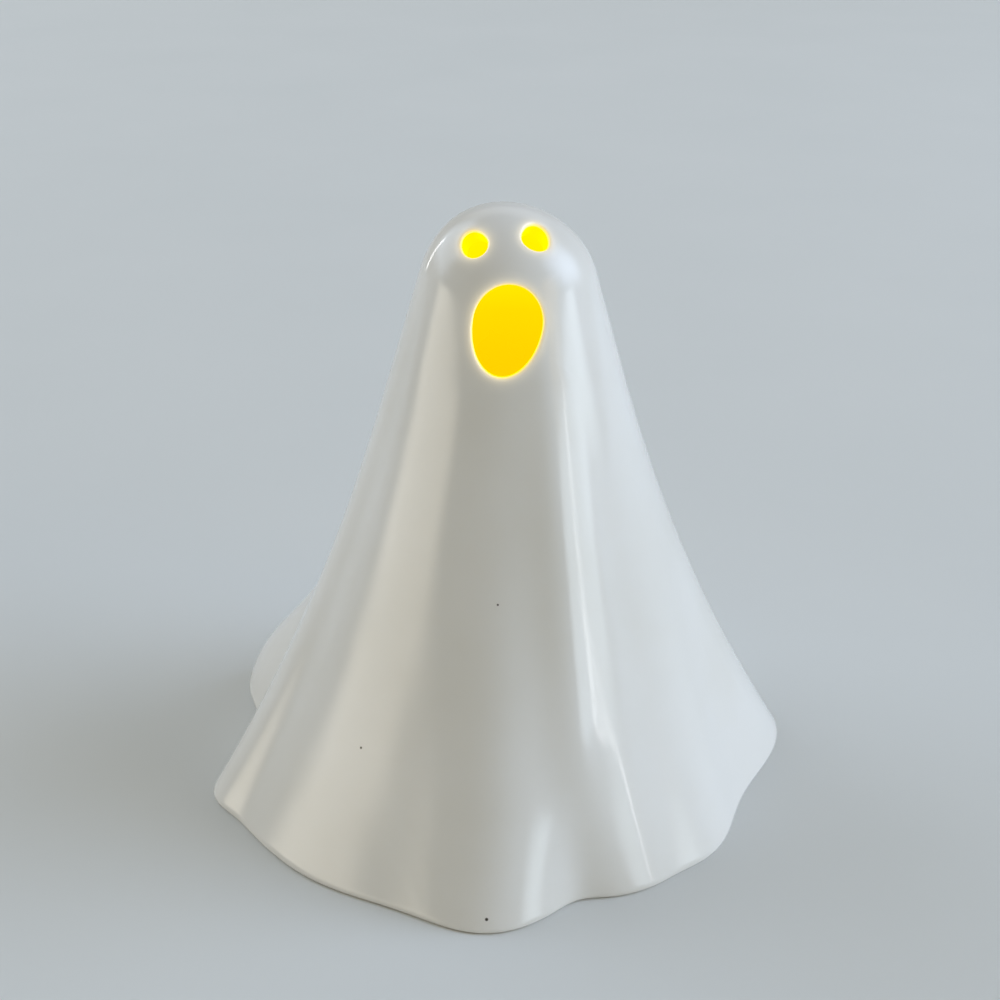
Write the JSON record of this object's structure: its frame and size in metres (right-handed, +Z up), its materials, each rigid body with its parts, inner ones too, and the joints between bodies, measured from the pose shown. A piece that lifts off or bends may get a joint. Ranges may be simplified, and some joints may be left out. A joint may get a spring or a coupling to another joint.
{
  "type": "ceramic ghost figure",
  "caption": "Hollow glazed ceramic ghost with a draped, folded hem that stands over a flameless tea light, which glows through its eye and mouth holes.",
  "frame": {"origin": "on the table, under the middle of the ghost's outline seen from above", "axes": "+Z up, the face looks along -Y, and +X is to the right of the face as seen from in front"},
  "size_m": [0.1428, 0.1394, 0.144],
  "materials": {
    "white_glaze": "gloss",
    "white_plastic": "satin",
    "flame_plastic": "satin",
    "led_resin": "gloss",
    "tinned_wire": "satin",
    "cell_steel": "satin",
    "gasket_plastic": "matte",
    "black_plastic": "matte",
    "contact_brass": "satin"
  },
  "bodies": {
    "ghost": {"ghost_shell": "white_glaze"},
    "tea_light": {"candle_cup": "white_plastic", "flame_lens": "flame_plastic", "led_lens": "led_resin", "led_anode_lead": "tinned_wire", "led_cathode_lead": "tinned_wire", "base_plate": "white_plastic", "cell_can": "cell_steel", "cell_gasket": "gasket_plastic", "cell_cap": "cell_steel", "positive_contact": "contact_brass", "negative_contact": "contact_brass"},
    "door": {"battery_door": "white_plastic"},
    "switch": {"switch_slider": "black_plastic"}
  },
  "joints": [
    {"name": "tea_light_lift", "type": "slide", "parent": "ghost", "child": "tea_light", "axis": [0, 0, -1], "range_m": [0, 0.06]},
    {"name": "door_twist", "type": "hinge", "parent": "tea_light", "child": "door", "pos_m": [-0.00041, 0.0012, 0.0014], "axis": [0, 0, -1], "range_deg": [0, 60]},
    {"name": "switch_slide", "type": "slide", "parent": "tea_light", "child": "switch", "axis": [-1, 0, 0], "range_m": [0, 0.003]}
  ]
}
